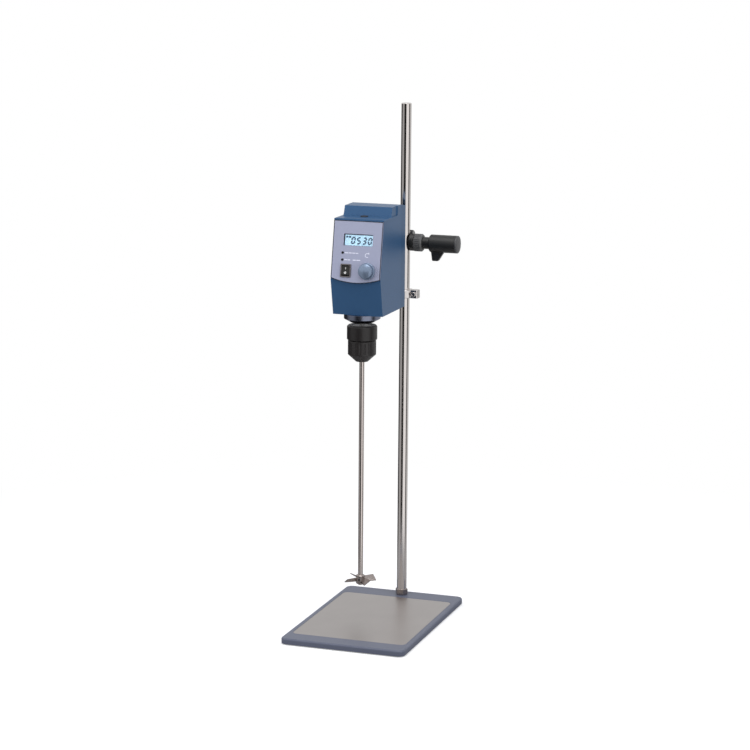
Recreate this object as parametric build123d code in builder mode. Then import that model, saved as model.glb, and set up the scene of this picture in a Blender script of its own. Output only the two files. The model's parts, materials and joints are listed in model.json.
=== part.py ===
from build123d import *
import os
from math import atan2, cos, radians, sin, sqrt, tan

os.makedirs("parts", exist_ok=True)

# Overhead laboratory stirrer on a plate stand. Millimetres, +Z up, +Y to the
# back, origin on the bench under the centre of the base plate.

# ---- driving dimensions -------------------------------------------------
# clearances
running_gap = 0.05       # radial gap of a turning or sliding fit
thread_gap = 0.05        # radial gap drawn between a screw and its thread
face_gap = 0.3           # gap between faces that move past each other
seam_gap = 0.2           # gap round an inlaid or clipped-in piece

# plate stand
base_w = 200.0
base_d = 316.0
plate_bottom = 1.5       # height the feet hold the plate off the bench
base_t = 9.2
base_corner_r = 11.0
base_edge_r = 3.0
sheet_w = 183.0
sheet_d = 246.0
sheet_y = -4.0
sheet_t = 1.0
sheet_corner_r = 9.0
foot_r = 9.0
foot_pocket = 2.0
foot_inset = 20.0
rod_x = 0.0
rod_inset = 20.0         # rod axis in from the plate's back edge
rod_r = 8.0
rod_length = 800.0
rod_chamfer = 1.0
stub_r = 6.0
rod_nut_af = 18.0
rod_nut_h = 10.0

# boss head, clamp screw and handle
clamp_z = 590.5
boss_r = 19.5            # rounded back and top of the casting
boss_under = 13.5        # clamp axis down to the flat underside
boss_front = 16.0        # rod axis to the front of the limb
boss_wall = 4.0          # thickness of the limb right of the rod
arm_hub_r = 15.5
arm_r = 7.0
bush_r = 13.5
bush_length = 8.4
screw_r = 4.0
collar_r = 14.0
collar_length = 12.7
handle_neck_r = 9.5
handle_neck_length = 11.5
handle_r = 14.0
handle_length = 43.5
handle_cap_length = 5.0
cap_dome = 1.8
fin_drop = 27.5
fin_t = 9.0
fin_edge = 9.5           # width of the wing's outer edge
fin_reach = 22.5         # end of the wing along the handle

# stop collar under the boss head
stop_z = 508.0
stop_r = 14.0
stop_h = 13.0
stop_lug_reach = 24.0
stop_lug_half = 7.0

# drive head
head_x = -25.0
head_w = 81.0
wall = 3.0
head_bottom = 495.0
foot_front_y = -17.0     # front of the housing at its underside
break_y = -30.0          # foremost line of the housing
break_z = 555.5
ledge_y = -14.0
ledge_z = 644.0
hood_foot_y = 25.0
hood_lean = 6.0
hood_top = 658.5
seam_y = 70.0            # joint between the front shell and the rear cover
rear_y = 95.0
rear_slope = 3.5         # drop of the rear cover's top towards the back
rear_round = 5.0
edge_round = 1.2         # upright edges of the front shell
hood_inset = 1.5         # front of the hood, in from the sides
hood_inset_length = 24.0
arc_side = -2.0          # lower edge of the panel at the sides, along the slope
arc_sag = 6.7            # how much deeper it hangs in the middle
panel_t = 2.5
panel_seat = 2.2
panel_side_gap = 0.6
panel_top = 87.4
window_half = 34.0
window_low = -1.0
window_high = 80.0

# items on the panel: (across, up the slope)
display_at = (1.0, 57.7)
display_w = 47.0
display_h = 18.0
lamp_at = ((-22.8, 37.5), (-22.8, 26.7))
lamp_r = 1.9
switch_at = (-16.2, 10.1)
switch_w = 17.0
switch_h = 20.5
rocker_w = 12.6
rocker_r = 8.2
rocker_pivot = -1.5      # pivot below the panel face
knob_at = (18.3, 10.5)
knob_r = 13.0
knob_h = 13.5
knob_skirt_h = 3.6
knob_cap_r = 11.2
knob_groove = 0.9        # width and depth of the groove between skirt and cap
knob_dome = 3.0          # rise of the domed end
board_depth = 8.9
board_t = 1.6

# drive train
shaft_y = 4.0
cone_r = 28.5
cone_rim_h = 7.5
cone_taper_h = 5.8
cone_tip_r = 18.0
tube_r = 16.0
tube_top = 541.0
bearing_od = 22.0
bearing_id = 8.0
bearing_w = 7.0
plate_t = 3.0
motor_r = 21.0
motor_h = 36.0
belt_centres = 44.0
pulley_h = 10.0
driven_r = 19.0
drive_r = 9.5
belt_t = 1.4
motor_shaft_r = 2.5

# chuck, stirring shaft and propeller
chuck_top = 477.0
rear_sleeve_r = 23.6
rear_sleeve_h = 22.5
front_sleeve_r = 22.0
front_sleeve_end = 431.0
chuck_nose_z = 419.7
chuck_nose_r = 9.6
mandrel_r = 15.0
jaw_r = 2.2
jaw_tilt = 10.0          # angle between each jaw and the chuck axis
jaw_length = 25.0
stirrer_r = 4.0
stirrer_length = 400.0
stirrer_grip = 40.3      # length of the shaft inside the chuck
propeller_r = 25.0
hub_r = 7.0
hub_h = 14.0
blade_pitch = 40.0
blade_count = 4

# ---- derived places -----------------------------------------------------
base_top = plate_bottom + base_t
rod_y = base_d / 2 - rod_inset
rod_foot = base_top + rod_nut_h
rod_top = base_top + rod_length
head_left = head_x - head_w / 2
slope = atan2(ledge_y - break_y, ledge_z - break_z)
lower_lean = (break_y - foot_front_y) / (break_z - head_bottom)
panel_plane = Plane(origin=(head_x, break_y, break_z), x_dir=(1, 0, 0), z_dir=(0, -cos(slope), sin(slope)))
boss_right = rod_x + rod_r + boss_wall
bush_start = rod_x + rod_r + 2 * face_gap
collar_start = bush_start + bush_length + face_gap
neck_start = collar_start + collar_length + face_gap
handle_start = neck_start + handle_neck_length
handle_end = handle_start + handle_length
stirrer_top = chuck_nose_z + stirrer_grip
stirrer_bottom = stirrer_top - stirrer_length
motor_y = shaft_y + belt_centres
pulley_z = tube_top + plate_t + 2.0
low = (Align.CENTER, Align.CENTER, Align.MIN)
high = (Align.CENTER, Align.CENTER, Align.MAX)


def save(piece, name):
    """Label a finished piece and write it under its own name."""
    piece.part.label = name
    export_step(piece.part, f"parts/{name}.step")


def turned(points, axis_x, axis_y):
    """Body of revolution about an upright axis from (radius, height) points."""
    with BuildPart() as piece:
        with BuildSketch(Plane(origin=(axis_x, axis_y, 0), x_dir=(1, 0, 0), z_dir=(0, -1, 0))):
            with BuildLine():
                Polyline(*points, close=True)
            make_face()
        revolve(axis=Axis((axis_x, axis_y, 0), (0, 0, 1)))
    return piece


def turned_along_x(points, axis_y, axis_z):
    """Body of revolution about a left-to-right axis from (x, radius) points."""
    with BuildPart() as piece:
        with BuildSketch(Plane(origin=(0, axis_y, axis_z), x_dir=(1, 0, 0), z_dir=(0, -1, 0))):
            with BuildLine():
                Polyline(*points, close=True)
            make_face()
        revolve(axis=Axis((0, axis_y, axis_z), (1, 0, 0)))
    return piece


# ---- base plate with its inlaid sheet and feet --------------------------
foot_spots = [
    (sx * (base_w / 2 - foot_inset), sy * (base_d / 2 - foot_inset), 0)
    for sx in (-1, 1)
    for sy in (-1, 1)
]
foot_h = plate_bottom + foot_pocket
foot_screw_r = 1.6
foot_head_r = 3.2
foot_head_h = 1.8

with BuildPart() as base_plate:
    with BuildSketch(Plane.XY.offset(plate_bottom)):
        RectangleRounded(base_w, base_d, base_corner_r)
    extrude(amount=base_t)
    fillet(base_plate.faces().sort_by(Axis.Z)[-1].edges(), base_edge_r)
    with BuildSketch(Plane.XY.offset(base_top)):
        with Locations((0, sheet_y)):
            RectangleRounded(sheet_w + 2 * seam_gap, sheet_d + 2 * seam_gap, sheet_corner_r + seam_gap)
    extrude(amount=-(sheet_t + seam_gap), mode=Mode.SUBTRACT)
    with Locations((rod_x, rod_y, plate_bottom)):
        Cylinder(stub_r + thread_gap, base_t, align=low, mode=Mode.SUBTRACT)
    with Locations(*foot_spots):
        with Locations((0, 0, plate_bottom)):
            Cylinder(foot_r + seam_gap, foot_pocket, align=low, mode=Mode.SUBTRACT)
            Cylinder(foot_screw_r + thread_gap, foot_pocket + 4, align=low, mode=Mode.SUBTRACT)
save(base_plate, "base_plate")

with BuildPart() as base_sheet:
    with BuildSketch(Plane.XY.offset(base_top - sheet_t - seam_gap)):
        with Locations((0, sheet_y)):
            RectangleRounded(sheet_w, sheet_d, sheet_corner_r)
    extrude(amount=sheet_t)
save(base_sheet, "base_sheet")

with BuildPart() as base_feet:
    with Locations(*foot_spots):
        Cylinder(foot_r, foot_h, align=low)
    chamfer(base_feet.faces().filter_by(Axis.Z).group_by(Axis.Z)[0].edges(), 0.6)
    with Locations(*foot_spots):
        Cylinder(foot_head_r + seam_gap, foot_head_h + 0.4, align=low, mode=Mode.SUBTRACT)
        Cylinder(foot_screw_r + thread_gap, foot_h, align=low, mode=Mode.SUBTRACT)
save(base_feet, "base_feet")

with BuildPart() as foot_screws:
    with Locations(*foot_spots):
        with Locations((0, 0, 0.4)):
            Cylinder(foot_head_r, foot_head_h, align=low)
            Cylinder(foot_screw_r, foot_h + 3, align=low)
save(foot_screws, "foot_screws")

# ---- support rod and its foot nut ---------------------------------------
support_rod = turned(
    [
        (0, plate_bottom + 1),
        (stub_r, plate_bottom + 1),
        (stub_r, rod_foot),
        (rod_r, rod_foot),
        (rod_r, rod_top - rod_chamfer),
        (rod_r - rod_chamfer, rod_top),
        (0, rod_top),
    ],
    rod_x,
    rod_y,
)
save(support_rod, "support_rod")

with BuildPart() as rod_nut:
    with BuildSketch(Plane.XY.offset(base_top)):
        with Locations((rod_x, rod_y)):
            RegularPolygon(rod_nut_af / 2, 6, major_radius=False)
            Circle(stub_r + thread_gap, mode=Mode.SUBTRACT)
    extrude(amount=rod_nut_h)
    chamfer(rod_nut.edges().filter_by(GeomType.LINE).filter_by(Axis.Z, reverse=True), 0.7)
save(rod_nut, "rod_nut")

# ---- split stop collar on the rod ---------------------------------------
stop_screw_x = rod_x + 17.0
stop_screw_r = 2.5
stop_head_r = 4.2
stop_head_h = 4.0

with BuildPart() as stop_collar:
    with BuildSketch(Plane.XY.offset(stop_z - stop_h / 2)):
        with Locations((rod_x, rod_y)):
            Circle(stop_r)
            with Locations((stop_lug_reach / 2, 0)):
                Rectangle(stop_lug_reach, 2 * stop_lug_half)
            Circle(rod_r + running_gap, mode=Mode.SUBTRACT)
            with Locations((stop_lug_reach / 2 + 2, 0)):
                Rectangle(stop_lug_reach + 4, 1.6, mode=Mode.SUBTRACT)
    extrude(amount=stop_h)
    outer_corners = stop_collar.edges().filter_by(Axis.Z).group_by(Axis.X)[-1].sort_by(Axis.Y)
    fillet([outer_corners[0], outer_corners[-1]], 3.5)
    chamfer(stop_collar.edges().filter_by(GeomType.CIRCLE).filter_by(lambda e: e.radius > stop_r - 0.1), 0.8)
    with BuildSketch(Plane.XZ.offset(-rod_y + stop_lug_half + 2)):
        with Locations((stop_screw_x, stop_z)):
            Circle(stop_screw_r + thread_gap)
    extrude(amount=-2 * stop_lug_half - 4, mode=Mode.SUBTRACT)
save(stop_collar, "stop_collar")

with BuildPart() as stop_collar_screw:
    with BuildSketch(Plane.XZ.offset(-rod_y + stop_lug_half)):
        with Locations((stop_screw_x, stop_z)):
            Circle(stop_head_r)
    extrude(amount=stop_head_h)
    chamfer(stop_collar_screw.faces().sort_by(Axis.Y)[0].edges(), 0.6)
    with BuildSketch(Plane.XZ.offset(-rod_y + stop_lug_half)):
        with Locations((stop_screw_x, stop_z)):
            Circle(stop_screw_r)
    extrude(amount=-2 * stop_lug_half + 0.5)
    with BuildSketch(Plane.XZ.offset(-rod_y + stop_lug_half + stop_head_h)):
        with Locations((stop_screw_x, stop_z)):
            RegularPolygon(2.0, 6, major_radius=False)
    extrude(amount=-2.4, mode=Mode.SUBTRACT)
save(stop_collar_screw, "stop_collar_screw")

# ---- boss head: casting that holds the arm and hooks behind the rod -----
with BuildPart() as boss_head:
    with BuildSketch(Plane.XZ.offset(-rod_y + boss_front)):
        with Locations((head_x, clamp_z)):
            Circle(arm_hub_r)
    extrude(amount=-(boss_front + boss_r))
    fillet(boss_head.edges().filter_by(GeomType.CIRCLE), 2.0)
    with BuildSketch(Plane.YZ.offset(head_x)):
        with Locations((rod_y, clamp_z)):
            Circle(boss_r)
            with Locations(((boss_r - boss_front) / 2, (boss_r - boss_under) / 2)):
                Rectangle(boss_r + boss_front, boss_r + boss_under, mode=Mode.INTERSECT)
    extrude(amount=boss_right - head_x)
    # slot that takes the rod from the front
    with Locations((rod_x, rod_y, clamp_z)):
        Cylinder(rod_r + running_gap, 3 * boss_r, mode=Mode.SUBTRACT)
        Box(
            2 * (rod_r + running_gap), 2 * boss_r, 3 * boss_r,
            align=(Align.CENTER, Align.MAX, Align.CENTER), mode=Mode.SUBTRACT,
        )
    # the right limb is open at the front and cradles the clamp bush
    with Locations((rod_x + rod_r, rod_y + 1, clamp_z)):
        Box(
            2 * boss_wall, 2 * boss_r, 3 * boss_r,
            align=(Align.MIN, Align.MAX, Align.CENTER), mode=Mode.SUBTRACT,
        )
    with BuildSketch(Plane.YZ.offset(rod_x + rod_r)):
        with Locations((rod_y, clamp_z)):
            Circle(bush_r + running_gap)
    extrude(amount=2 * boss_wall, mode=Mode.SUBTRACT)
    with BuildSketch(Plane.XZ.offset(-rod_y + boss_front + 5)):
        with Locations((head_x, clamp_z)):
            Circle(arm_r + running_gap)
    extrude(amount=-2 * (boss_r + boss_front), mode=Mode.SUBTRACT)
    with Locations((head_x, rod_y, clamp_z)):
        Cylinder(3.0 + thread_gap, 3 * boss_r, align=low, mode=Mode.SUBTRACT)
save(boss_head, "boss_head")

with BuildPart() as arm_set_screw:
    with Locations((head_x, rod_y, clamp_z + arm_r + running_gap)):
        Cylinder(3.0, 14, align=low)
        with Locations((0, 0, 14)):
            Cylinder(5.0, 5.0, align=low)
    chamfer(arm_set_screw.faces().sort_by(Axis.Z)[-1].edges(), 0.5)
    with BuildSketch(Plane.XY.offset(clamp_z + arm_r + running_gap + 19)):
        with Locations((head_x, rod_y)):
            RegularPolygon(2.5, 6, major_radius=False)
    extrude(amount=-3, mode=Mode.SUBTRACT)
save(arm_set_screw, "arm_set_screw")

# ---- clamp screw: bush, ribbed collar, screw, handle --------------------
clamp_bush = turned_along_x(
    [
        (bush_start, screw_r + 0.08),
        (bush_start, bush_r - 1),
        (bush_start + 1, bush_r),
        (bush_start + bush_length - 1, bush_r),
        (bush_start + bush_length, bush_r - 1),
        (bush_start + bush_length, screw_r + 0.08),
    ],
    rod_y,
    clamp_z,
)
save(clamp_bush, "clamp_bush")

rib_count = 28
rib_depth = 0.7
collar_end = collar_start + collar_length
with BuildPart() as clamp_collar:
    with BuildSketch(Plane.YZ.offset(collar_start)):
        with Locations((rod_y, clamp_z)):
            Circle(collar_r)
            with PolarLocations(collar_r, rib_count):
                Circle(rib_depth, mode=Mode.SUBTRACT)
    extrude(amount=collar_length - 3.0)
    with BuildSketch(Plane.YZ.offset(collar_end - 3.0)):
        with Locations((rod_y, clamp_z)):
            Circle(collar_r)
    extrude(amount=3.0)
    chamfer(clamp_collar.faces().sort_by(Axis.X)[-1].edges(), 1.6)
    with BuildSketch(Plane.YZ.offset(collar_start - 1)):
        with Locations((rod_y, clamp_z)):
            Circle(screw_r + running_gap)
    extrude(amount=collar_length + 2, mode=Mode.SUBTRACT)
save(clamp_collar, "clamp_collar")

screw_end = handle_start + 20.0
clamp_screw = turned_along_x(
    [
        (rod_x + rod_r + face_gap, 0),
        (rod_x + rod_r + face_gap, screw_r - 1),
        (rod_x + rod_r + face_gap + 1, screw_r),
        (screw_end, screw_r),
        (screw_end, 0),
    ],
    rod_y,
    clamp_z,
)
save(clamp_screw, "clamp_screw")

with BuildPart() as clamp_handle:
    with BuildSketch(Plane(origin=(0, rod_y, clamp_z), x_dir=(1, 0, 0), z_dir=(0, -1, 0))):
        with BuildLine():
            Polyline(
                (neck_start, 0),
                (neck_start, handle_neck_r),
                (handle_start, handle_neck_r),
                (handle_start, handle_r - 1.5),
                (handle_start + 1.5, handle_r),
                (handle_end, handle_r),
                (handle_end, 0),
                close=True,
            )
        make_face()
    revolve(axis=Axis((0, rod_y, clamp_z), (1, 0, 0)))
    # wing that gives the thumb its purchase
    with BuildSketch(Plane(origin=(0, rod_y - fin_t / 2, clamp_z), x_dir=(1, 0, 0), z_dir=(0, -1, 0))):
        with BuildLine():
            Polyline(
                (handle_start + 1.0, -2),
                (handle_start + 4.5, -fin_drop),
                (handle_start + 4.5 + fin_edge, -fin_drop),
                (handle_start + fin_reach, -handle_r),
                (handle_start + fin_reach, -2),
                close=True,
            )
        make_face()
    extrude(amount=-fin_t)
    wing_ends = clamp_handle.edges().filter_by(Axis.Y).group_by(Axis.Z)[0]
    fillet(wing_ends, 1.8)
    with BuildSketch(Plane.YZ.offset(neck_start)):
        with Locations((rod_y, clamp_z)):
            Circle(screw_r + thread_gap)
    extrude(amount=screw_end - neck_start + seam_gap, mode=Mode.SUBTRACT)
save(clamp_handle, "clamp_handle")

with BuildPart() as handle_cap:
    with BuildSketch(Plane(origin=(0, rod_y, clamp_z), x_dir=(1, 0, 0), z_dir=(0, -1, 0))):
        with BuildLine():
            crown = handle_end + handle_cap_length
            dome_edge = handle_r - 1.0
            dome_r = (dome_edge**2 + cap_dome**2) / (2 * cap_dome)
            Polyline(
                (crown, 0),
                (handle_end, 0),
                (handle_end, handle_r),
                (crown - cap_dome - 1.0, handle_r),
                (crown - cap_dome, dome_edge),
            )
            ThreePointArc(
                (crown - cap_dome, dome_edge),
                (crown - dome_r + sqrt(dome_r**2 - (dome_edge / 2) ** 2), dome_edge / 2),
                (crown, 0),
            )
        make_face()
    revolve(axis=Axis((0, rod_y, clamp_z), (1, 0, 0)))
save(handle_cap, "handle_cap")

# ---- housing: front shell -----------------------------------------------
def slope_y(z):
    """Front of the upper housing at height z."""
    return break_y + (z - break_z) * tan(slope)


def lower_y(z):
    """Front of the lower housing at height z."""
    return foot_front_y + (z - head_bottom) * lower_lean


arc_side_z = break_z + arc_side * cos(slope)
arc_mid_z = break_z + (arc_side - arc_sag) * cos(slope)
side_reach = head_w / 2 + 6

with BuildPart() as chin_cut:
    with BuildSketch(Plane.XZ.offset(-slope_y(head_bottom) + 20)):
        with BuildLine():
            Polyline(
                (head_x - side_reach, arc_side_z),
                (head_x - side_reach, head_bottom - 20),
                (head_x + side_reach, head_bottom - 20),
                (head_x + side_reach, arc_side_z),
            )
            ThreePointArc(
                (head_x + side_reach, arc_side_z), (head_x, arc_mid_z), (head_x - side_reach, arc_side_z)
            )
        make_face()
    extrude(amount=-80)
    with BuildSketch(Plane.YZ.offset(head_left - 10)):
        with BuildLine():
            Polyline(
                (slope_y(head_bottom) - 20, head_bottom - 20),
                (lower_y(head_bottom - 20), head_bottom - 20),
                (break_y, break_z),
                (slope_y(head_bottom) - 20, break_z + 10),
                close=True,
            )
        make_face()
    extrude(amount=head_w + 20, mode=Mode.INTERSECT)


def panel_outline(half_width, shrink):
    """Face of the control panel: straight sides and a hanging lower edge."""
    with BuildSketch(Plane.XY) as outline:
        with BuildLine():
            Polyline(
                (-half_width, arc_side + shrink),
                (-half_width, panel_top - shrink),
                (half_width, panel_top - shrink),
                (half_width, arc_side + shrink),
            )
            ThreePointArc(
                (half_width, arc_side + shrink),
                (0, arc_side - arc_sag + shrink),
                (-half_width, arc_side + shrink),
            )
        make_face()
    return outline.sketch


panel_half = head_w / 2 - panel_side_gap
with BuildPart() as front_shell:
    with BuildSketch(Plane.YZ.offset(head_left)):
        with BuildLine():
            Polyline(
                (slope_y(head_bottom), head_bottom),
                (ledge_y, ledge_z),
                (hood_foot_y, ledge_z),
                (hood_foot_y + hood_lean, hood_top),
                (seam_y, hood_top),
                (seam_y, head_bottom),
                close=True,
            )
        make_face()
    extrude(amount=head_w)
    side_edges = front_shell.edges().filter_by(Axis.X, reverse=True).filter_by(
        lambda e: e.center().Y < seam_y - 1 and e.center().Z > head_bottom + 1
    )
    fillet(side_edges, edge_round)
    add(chin_cut.part, mode=Mode.SUBTRACT)
    # cavity below the ledge, then the one under the hood
    with BuildSketch(Plane.YZ.offset(head_left + wall)):
        with BuildLine():
            inner_slope = panel_seat + wall
            Polyline(
                (lower_y(head_bottom + wall) + wall, head_bottom + wall),
                (lower_y(arc_mid_z) + wall + 1.5, arc_mid_z),
                (slope_y(ledge_z - wall) + inner_slope, ledge_z - wall),
                (hood_foot_y + wall, ledge_z - wall),
                (seam_y + 1, ledge_z - wall),
                (seam_y + 1, head_bottom + wall),
                close=True,
            )
        make_face()
    extrude(amount=head_w - 2 * wall, mode=Mode.SUBTRACT)
    with BuildSketch(Plane.YZ.offset(head_left + wall + hood_inset)):
        with BuildLine():
            Polyline(
                (hood_foot_y + wall, ledge_z - wall - 1),
                (hood_foot_y + hood_lean + wall, hood_top - wall),
                (seam_y + 1, hood_top - wall),
                (seam_y + 1, ledge_z - wall - 1),
                close=True,
            )
        make_face()
    extrude(amount=head_w - 2 * (wall + hood_inset), mode=Mode.SUBTRACT)
    # the front of the hood stands in from the sides and ends in a finger groove
    for side in (-1, 1):
        with Locations((head_x + side * (head_w / 2 + 5 - hood_inset), hood_foot_y - 1, ledge_z)):
            Box(
                10, hood_inset_length + 1, 20,
                align=(Align.CENTER, Align.MIN, Align.MIN), mode=Mode.SUBTRACT,
            )
        with Locations((head_x + side * (head_w / 2 + 0.6), hood_foot_y + hood_inset_length, ledge_z)):
            Cylinder(3.2, 20, align=low, mode=Mode.SUBTRACT)
    # seat of the control panel and the opening behind it
    with BuildSketch(panel_plane.offset(-panel_seat)):
        add(panel_outline(side_reach, 0))
    extrude(amount=10, mode=Mode.SUBTRACT)
    with BuildSketch(panel_plane.offset(5)):
        with Locations((0, (window_low + window_high) / 2)):
            Rectangle(2 * window_half, window_high - window_low)
    extrude(amount=-16, mode=Mode.SUBTRACT)
    # opening for the bearing tube, and the hole of the plug on the ledge
    with Locations((head_x, shaft_y, head_bottom)):
        Cylinder(tube_r + seam_gap, wall, align=low, mode=Mode.SUBTRACT)
    with Locations((head_x - 2, hood_foot_y - 8.5, ledge_z)):
        Cylinder(4.5, wall, align=high, mode=Mode.SUBTRACT)
save(front_shell, "front_shell")

with BuildPart() as ledge_plug:
    with Locations((head_x - 2, hood_foot_y - 8.5, ledge_z)):
        Cylinder(6.2, 1.4, align=low)
        Cylinder(4.4, wall, align=high)
    chamfer(ledge_plug.faces().sort_by(Axis.Z)[-1].edges(), 0.7)
save(ledge_plug, "ledge_plug")

# ---- housing: rear cover, inlet, fuse, arm flange -----------------------
inlet_z = 528.0
inlet_w = 28.0
inlet_h = 21.0
fuse_offset = 27.0
fuse_x = head_x + fuse_offset
fuse_r = 6.5
slot_length = 46.0
slot_w = 2.4
slot_pitch = 7.0
slot_count = 5
slot_z = 632.0
flange_half = 20.0
flange_t = 5.0
cover_screw_inset = 6.5
cover_screw_up = 10.0        # above the head's bottom
cover_screw_down = 12.5      # below the hood
cover_screw_r = 2.0
cover_screw_length = 12.0
cover_screw_head_r = 3.4
cover_screw_head_h = 1.8
cover_screws_at = [
    (head_x + side * (head_w / 2 - cover_screw_inset), z)
    for side in (-1, 1)
    for z in (head_bottom + cover_screw_up, hood_top - cover_screw_down)
]

with BuildPart() as rear_cover:
    with BuildSketch(Plane.YZ.offset(head_left)):
        with BuildLine():
            Polyline(
                (seam_y, head_bottom),
                (seam_y, hood_top),
                (rear_y, hood_top - rear_slope),
                (rear_y, head_bottom),
                close=True,
            )
        make_face()
    extrude(amount=head_w)
    fillet(rear_cover.faces().sort_by(Axis.Y)[-1].edges(), rear_round)
    with BuildSketch(Plane.XZ.offset(-(rear_y - wall))):
        with Locations((head_x, (head_bottom + hood_top - rear_slope) / 2)):
            Rectangle(head_w - 2 * wall, hood_top - rear_slope - head_bottom - 2 * wall)
    extrude(amount=rear_y - seam_y, mode=Mode.SUBTRACT)
    with BuildSketch(Plane.XZ.offset(-rear_y - 1)):
        with Locations((head_x, inlet_z)):
            Rectangle(inlet_w + 0.4, inlet_h + 0.4)
        with Locations((fuse_x, inlet_z)):
            Circle(fuse_r - 1)
        with Locations((head_x, clamp_z)):
            Circle(4.2)
        with Locations(*cover_screws_at):
            Circle(cover_screw_r + thread_gap)
        with Locations((head_x, slot_z)):
            with GridLocations(0, slot_pitch, 1, slot_count):
                SlotOverall(slot_length, slot_w)
    extrude(amount=wall + 2, mode=Mode.SUBTRACT)
save(rear_cover, "rear_cover")

with BuildPart() as rear_cover_screws:
    with BuildSketch(Plane.XZ.offset(-rear_y)):
        with Locations(*cover_screws_at):
            Circle(cover_screw_head_r)
    extrude(amount=-cover_screw_head_h)
    screw_tops = rear_cover_screws.faces().filter_by(Axis.Y).group_by(Axis.Y)[-1]
    fillet(screw_tops.edges(), cover_screw_head_h * 0.55)
    with BuildSketch(Plane.XZ.offset(-rear_y)):
        with Locations(*cover_screws_at):
            Circle(cover_screw_r)
    extrude(amount=cover_screw_length)
save(rear_cover_screws, "rear_cover_screws")

with BuildPart() as power_inlet:
    with BuildSketch(Plane.XZ.offset(-rear_y)):
        with Locations((head_x, inlet_z)):
            RectangleRounded(inlet_w + 8, inlet_h + 6, 3)
    extrude(amount=-2.0)
    with BuildSketch(Plane.XZ.offset(-rear_y)):
        with Locations((head_x, inlet_z)):
            Rectangle(inlet_w, inlet_h)
    extrude(amount=20)
    # well that takes the connector, with its two upper corners cut off
    with BuildSketch(Plane.XZ.offset(-rear_y - 2)):
        with BuildLine():
            Polyline(
                (head_x - 12, inlet_z - 8),
                (head_x + 12, inlet_z - 8),
                (head_x + 12, inlet_z + 3.5),
                (head_x + 7.5, inlet_z + 8),
                (head_x - 7.5, inlet_z + 8),
                (head_x - 12, inlet_z + 3.5),
                close=True,
            )
        make_face()
    extrude(amount=18, mode=Mode.SUBTRACT)
    with BuildSketch(Plane.XZ.offset(-rear_y + 16)):
        with Locations((head_x - 7, inlet_z - 1), (head_x, inlet_z + 3), (head_x + 7, inlet_z - 1)):
            Rectangle(2.0, 4.0)
    extrude(amount=-10)
save(power_inlet, "power_inlet")

with BuildPart() as fuse_cap:
    with BuildSketch(Plane.XZ.offset(-rear_y)):
        with Locations((fuse_x, inlet_z)):
            Circle(fuse_r)
    extrude(amount=-4.0)
    chamfer(fuse_cap.faces().sort_by(Axis.Y)[-1].edges(), 0.8)
    with BuildSketch(Plane.XZ.offset(-rear_y)):
        with Locations((fuse_x, inlet_z)):
            Circle(fuse_r - 1.2)
    extrude(amount=18)
    with BuildSketch(Plane.XZ.offset(-rear_y - 4)):
        with Locations((fuse_x, inlet_z)):
            Rectangle(7, 1.4)
    extrude(amount=1.2, mode=Mode.SUBTRACT)
save(fuse_cap, "fuse_cap")

with BuildPart() as arm_flange:
    with BuildSketch(Plane.XZ.offset(-rear_y)):
        with Locations((head_x, clamp_z)):
            RectangleRounded(2 * flange_half, 2 * flange_half, 5)
            Circle(4.2, mode=Mode.SUBTRACT)
            with GridLocations(2 * flange_half - 12, 2 * flange_half - 12, 2, 2):
                Circle(2.1, mode=Mode.SUBTRACT)
    extrude(amount=-flange_t)
    chamfer(arm_flange.faces().sort_by(Axis.Y)[-1].outer_wire().edges(), 0.8)
save(arm_flange, "arm_flange")

with BuildPart() as arm_flange_screws:
    with BuildSketch(Plane.XZ.offset(-rear_y - flange_t)):
        with Locations((head_x, clamp_z)):
            with GridLocations(2 * flange_half - 12, 2 * flange_half - 12, 2, 2):
                Circle(3.5)
    extrude(amount=-2.0)
    with BuildSketch(Plane.XZ.offset(-rear_y - flange_t)):
        with Locations((head_x, clamp_z)):
            with GridLocations(2 * flange_half - 12, 2 * flange_half - 12, 2, 2):
                Circle(2.0)
    extrude(amount=flange_t)
save(arm_flange_screws, "arm_flange_screws")

arm_end = rod_y + boss_r
with BuildPart() as extension_arm:
    with BuildSketch(Plane.XZ.offset(-rear_y - flange_t)):
        with Locations((head_x, clamp_z)):
            Circle(arm_r)
    extrude(amount=-(arm_end - rear_y - flange_t))
    chamfer(extension_arm.faces().sort_by(Axis.Y)[-1].edges(), 1.0)
    with BuildSketch(Plane.XZ.offset(-rear_y - flange_t)):
        with Locations((head_x, clamp_z)):
            Circle(4.0)
    extrude(amount=flange_t + wall + 8)
save(extension_arm, "extension_arm")

# ---- control panel and what it carries ----------------------------------
post_at = [(-30, 28), (-30, 76), (30, 28), (30, 76)]
with BuildPart() as front_panel:
    with BuildSketch(panel_plane.offset(-panel_seat)):
        add(panel_outline(panel_half, 0.15))
    extrude(amount=panel_t)
    with BuildSketch(panel_plane.offset(-panel_seat)):
        with Locations(*post_at):
            Circle(2.5)
    extrude(amount=-(board_depth - panel_seat))
    with BuildSketch(panel_plane.offset(2)):
        with Locations(display_at):
            Rectangle(display_w, display_h)
        with Locations(*lamp_at):
            Circle(lamp_r + running_gap)
        with Locations(switch_at):
            Rectangle(switch_w - 1.7, switch_h - 1.4)
        with Locations(knob_at):
            Circle(3.6)
    extrude(amount=-6, mode=Mode.SUBTRACT)
save(front_panel, "front_panel")

with BuildPart() as display_window:
    with BuildSketch(panel_plane.offset(-panel_seat)):
        with Locations(display_at):
            Rectangle(display_w - seam_gap, display_h - seam_gap)
    extrude(amount=1.0)
save(display_window, "display_window")

with BuildPart() as display_module:
    with BuildSketch(panel_plane.offset(-board_depth)):
        with Locations(display_at):
            Rectangle(display_w + 7, display_h + 6)
    extrude(amount=board_depth - panel_seat - 0.1)
save(display_module, "display_module")

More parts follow.
